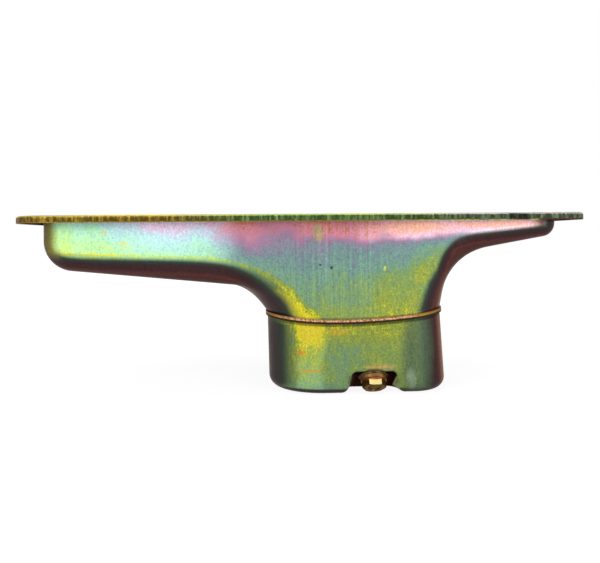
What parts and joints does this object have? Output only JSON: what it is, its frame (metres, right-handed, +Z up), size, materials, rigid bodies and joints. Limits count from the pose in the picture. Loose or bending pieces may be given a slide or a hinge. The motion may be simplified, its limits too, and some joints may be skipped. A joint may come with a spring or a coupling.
{
  "type": "engine oil pan",
  "caption": "Deep-drawn steel engine oil pan: flat bolted rail, deep and shallow trays, welded lower sump with a recessed drain plug and an inner slosh baffle.",
  "frame": {"origin": "centre of the rail's bolt pattern, on the gasket face", "axes": "+X from the deep front tray towards the shallow rear tray, +Z up at the engine, -Y the side with the drain plug"},
  "size_m": [0.56, 0.254, 0.179],
  "materials": {
    "yellow_zinc_sheet": "iridescent yellow zinc plating on drawn sheet steel",
    "plated_weld": "plated weld bead",
    "plated_boss": "plated turned steel",
    "copper_washer": "annealed copper",
    "plated_plug": "yellow zinc plated steel"
  },
  "bodies": {
    "pan": {"pan_pressing": "yellow_zinc_sheet", "sump_pressing": "yellow_zinc_sheet", "slosh_baffle": "yellow_zinc_sheet", "sump_seam_weld": "plated_weld", "bung_weld": "plated_weld", "drain_bung": "plated_boss"},
    "washer": {"plug_washer": "copper_washer"},
    "plug": {"drain_plug": "plated_plug"}
  },
  "joints": [
    {"name": "plug_travel", "type": "slide", "parent": "pan", "child": "washer", "axis": [0, -0.5373, -0.8434], "range_m": [0, 0.0165]},
    {"name": "plug_turn", "type": "hinge", "parent": "washer", "child": "plug", "pos_m": [0.0715, -0.09696, -0.16289], "axis": [0, -0.5373, -0.8434], "range_deg": [0, 3960]}
  ],
  "couplings": [
    {"joint": "plug_turn", "follows": "plug_travel", "rad_per_m": 4188.8}
  ]
}
